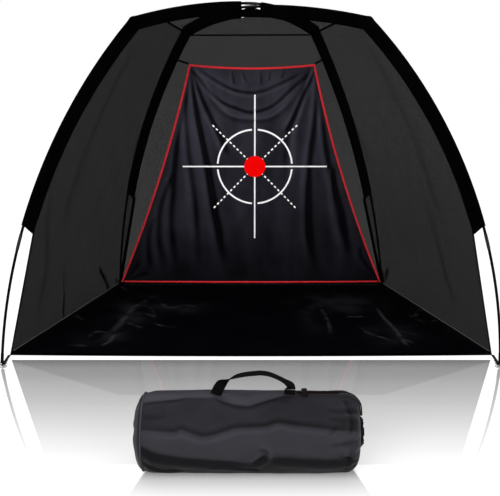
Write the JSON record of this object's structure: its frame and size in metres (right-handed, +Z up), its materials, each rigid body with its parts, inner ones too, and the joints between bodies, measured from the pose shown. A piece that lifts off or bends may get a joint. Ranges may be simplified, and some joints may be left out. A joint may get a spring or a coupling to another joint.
{
  "type": "golf chipping net",
  "caption": "Freestanding golf chipping net: crossed poles in cloth sleeves over mesh walls, ground sheet, hung target cloth with crosshair and red binding, and a drawstring carry bag.",
  "frame": {"origin": "on the ground, under the middle of the ground sheet", "axes": "+Z up, +Y towards the back wall, +X to the right as seen from the open front"},
  "size_m": [2.0204, 2.0669, 1.4272],
  "materials": {
    "fibreglass_pole": "smooth satin black resin",
    "ferrule_metal": "black satin",
    "cap_metal": "black satin",
    "ring_steel": "zinc bright",
    "elastic_cord": "braided elastic",
    "webbing": "woven black webbing",
    "sleeve_cloth": "black polyester",
    "mesh_net": "fine open knitted black mesh",
    "seam_tape": "black grosgrain",
    "ground_cloth": "black coated nylon, faint sheen",
    "target_cloth": "black nylon, soft sheen, printed crosshair",
    "red_binding": "red woven tape",
    "bag_cloth": "black nylon, soft sheen",
    "drawstring_cord": "dark braided cord",
    "lock_plastic": "moulded black"
  },
  "bodies": {
    "net": {"left_pole_front_tube_1": "fibreglass_pole", "left_pole_front_tube_2": "fibreglass_pole", "left_pole_front_tube_3": "fibreglass_pole", "left_pole_roof_tube_front": "fibreglass_pole", "left_pole_roof_tube_rear": "fibreglass_pole", "left_pole_rear_tube_1": "fibreglass_pole", "left_pole_rear_tube_2": "fibreglass_pole", "left_pole_rear_tube_3": "fibreglass_pole", "right_pole_front_tube_1": "fibreglass_pole", "right_pole_front_tube_2": "fibreglass_pole", "right_pole_front_tube_3": "fibreglass_pole", "right_pole_roof_tube_front": "fibreglass_pole", "right_pole_roof_tube_rear": "fibreglass_pole", "right_pole_rear_tube_1": "fibreglass_pole", "right_pole_rear_tube_2": "fibreglass_pole", "right_pole_rear_tube_3": "fibreglass_pole", "left_pole_shock_cord": "elastic_cord", "right_pole_shock_cord": "elastic_cord", "pole_ferrules": "ferrule_metal", "front_elbows": "ferrule_metal", "rear_elbows": "ferrule_metal", "pole_end_caps": "cap_metal", "corner_pins": "ring_steel", "corner_rings": "ring_steel", "front_corner_straps": "webbing", "rear_corner_straps": "webbing", "left_front_sleeve": "sleeve_cloth", "right_front_sleeve": "sleeve_cloth", "left_rear_sleeve": "sleeve_cloth", "right_rear_sleeve": "sleeve_cloth", "crown_patch": "sleeve_cloth", "left_wall_net": "mesh_net", "right_wall_net": "mesh_net", "back_wall_net": "mesh_net", "left_roof_net": "mesh_net", "right_roof_net": "mesh_net", "back_roof_net": "mesh_net", "roof_seam_tapes": "seam_tape", "left_front_edge_tape": "seam_tape", "right_front_edge_tape": "seam_tape", "net_bottom_tapes": "seam_tape", "rear_corner_tapes": "seam_tape", "ground_sheet": "ground_cloth", "ground_sheet_hem": "seam_tape", "target_top_ties": "webbing", "target_bottom_ties": "webbing"},
    "target": {"target_cloth": "target_cloth", "target_binding": "red_binding"},
    "bag": {"bag_body": "bag_cloth", "bag_end_panel": "bag_cloth", "bag_collar": "bag_cloth", "bag_piping": "bag_cloth", "handle_anchors": "webbing", "drawstring": "drawstring_cord", "drawstring_loop": "drawstring_cord", "drawstring_knots": "drawstring_cord"},
    "bag_handle": {"bag_handle": "webbing"},
    "cord_lock": {"cord_lock_body": "lock_plastic"},
    "cord_lock_button": {"cord_lock_button": "lock_plastic"}
  },
  "joints": [
    {"name": "target_swing", "type": "hinge", "parent": "net", "child": "target", "pos_m": [0, 0.301, 1.153], "axis": [-1, 0, 0], "range_deg": [0, 60], "stiffness_Nm_per_rad": 3, "springref_deg": -34.38},
    {"name": "bag_lift", "type": "slide", "parent": "net", "child": "bag", "axis": [0, 0, 1], "range_m": [0, 0.4]},
    {"name": "bag_handle_swing", "type": "hinge", "parent": "bag", "child": "bag_handle", "pos_m": [0.005, -1.39, 0.239], "axis": [1, 0, 0], "range_deg": [-55, 55]},
    {"name": "cord_lock_slide", "type": "slide", "parent": "bag", "child": "cord_lock", "axis": [1, 0, 0], "range_m": [0, 0.05]},
    {"name": "cord_lock_press", "type": "slide", "parent": "cord_lock", "child": "cord_lock_button", "axis": [0, 1, 0], "range_m": [0, 0.0025], "stiffness_N_per_m": 400, "springref_m": -0.002}
  ]
}
